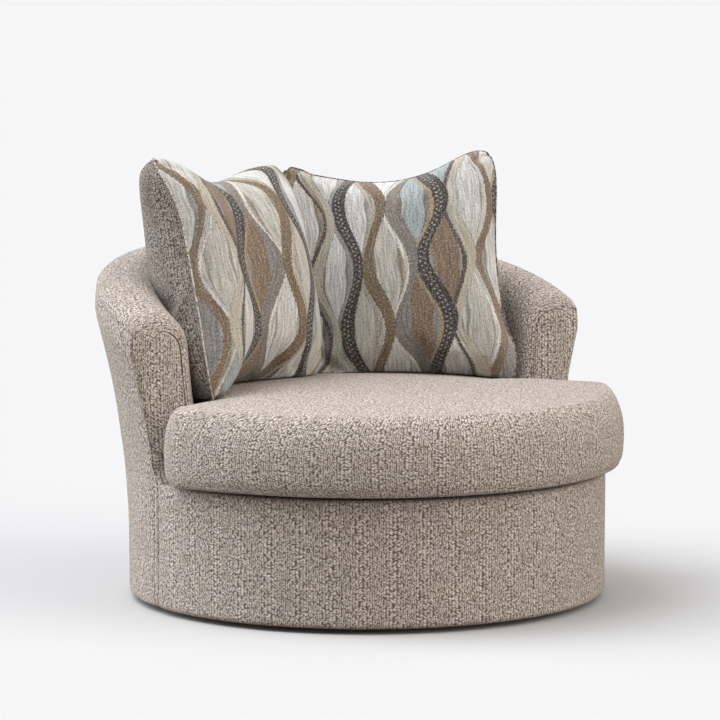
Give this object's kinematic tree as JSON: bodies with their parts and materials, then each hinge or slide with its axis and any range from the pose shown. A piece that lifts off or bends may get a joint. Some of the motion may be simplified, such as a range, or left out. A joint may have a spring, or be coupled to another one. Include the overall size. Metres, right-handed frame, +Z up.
{
  "type": "swivel chair",
  "caption": "Round upholstered barrel chair that swivels on a low ball-bearing ring base, with a loose T-shaped seat cushion and loose back pillows.",
  "frame": {"origin": "on the floor, on the swivel's axis", "axes": "+Z up, -Y to the chair's front, +X to its left as seen from the front, which is the picture's right"},
  "size_m": [1.2292, 1.2308, 1.0392],
  "materials": {
    "chenille": "woven chenille",
    "pillow_cloth": "patterned jacquard",
    "foam": "cut foam",
    "black_cloth": "non-woven",
    "plywood": "sanded",
    "hardwood": "planed",
    "fibreboard": "pressed board",
    "black_steel": "satin",
    "bright_steel": "zinc-plated",
    "black_plastic": "moulded"
  },
  "bodies": {
    "base": {"floor_ring": "black_steel", "glide_1": "black_plastic", "glide_2": "black_plastic", "glide_3": "black_plastic", "glide_4": "black_plastic", "glide_5": "black_plastic", "glide_6": "black_plastic", "base_spider": "black_steel", "lower_bearing_plate": "bright_steel", "centre_rivet": "bright_steel"},
    "ball_cage": {"ball_cage": "bright_steel"},
    "chair": {"arm_board_left": "plywood", "arm_board_right": "plywood", "arm_front_cover_left": "chenille", "arm_front_cover_right": "chenille", "arm_pad_left": "foam", "arm_pad_right": "foam", "back_foam": "foam", "back_slat_1": "hardwood", "back_slat_2": "hardwood", "back_slat_3": "hardwood", "back_slat_4": "hardwood", "back_slat_5": "hardwood", "bottom_ring": "plywood", "deck_cloth": "black_cloth", "deck_pad": "foam", "drum_post_1": "hardwood", "drum_post_2": "hardwood", "drum_post_3": "hardwood", "drum_post_4": "hardwood", "drum_post_5": "hardwood", "drum_post_6": "hardwood", "drum_post_7": "hardwood", "drum_post_8": "hardwood", "dust_cover": "black_cloth", "front_board": "plywood", "front_border_cover": "chenille", "inside_back_cover": "chenille", "mount_rail_back": "hardwood", "mount_rail_front": "hardwood", "mounting_bolt_1": "bright_steel", "mounting_bolt_2": "bright_steel", "mounting_bolt_3": "bright_steel", "mounting_bolt_4": "bright_steel", "outside_back_board": "fibreboard", "outside_back_cover": "chenille", "seat_ring": "plywood", "seat_spring_1": "bright_steel", "seat_spring_2": "bright_steel", "seat_spring_3": "bright_steel", "seat_spring_4": "bright_steel", "seat_spring_5": "bright_steel", "top_rail": "plywood", "upper_bearing_plate": "bright_steel"},
    "seat_cushion": {"seat_cushion": "chenille"},
    "pillow_left": {"pillow_left": "pillow_cloth"},
    "pillow_right": {"pillow_right": "pillow_cloth"}
  },
  "joints": [
    {"name": "swivel", "type": "hinge", "parent": "base", "child": "chair", "pos_m": [0, 0, 0], "axis": [0, 0, 1], "continuous": true},
    {"name": "ball_cage_spin", "type": "hinge", "parent": "base", "child": "ball_cage", "pos_m": [0, 0, 0], "axis": [0, 0, 1], "continuous": true},
    {"name": "seat_cushion_lift", "type": "slide", "parent": "chair", "child": "seat_cushion", "axis": [0, 0, 1], "range_m": [0, 0.6]},
    {"name": "pillow_left_lift", "type": "slide", "parent": "seat_cushion", "child": "pillow_left", "axis": [0, 0, 1], "range_m": [0, 0.55]},
    {"name": "pillow_right_lift", "type": "slide", "parent": "seat_cushion", "child": "pillow_right", "axis": [0, 0, 1], "range_m": [0, 0.55]}
  ],
  "couplings": [
    {"joint": "ball_cage_spin", "follows": "swivel", "ratio": 0.5}
  ]
}
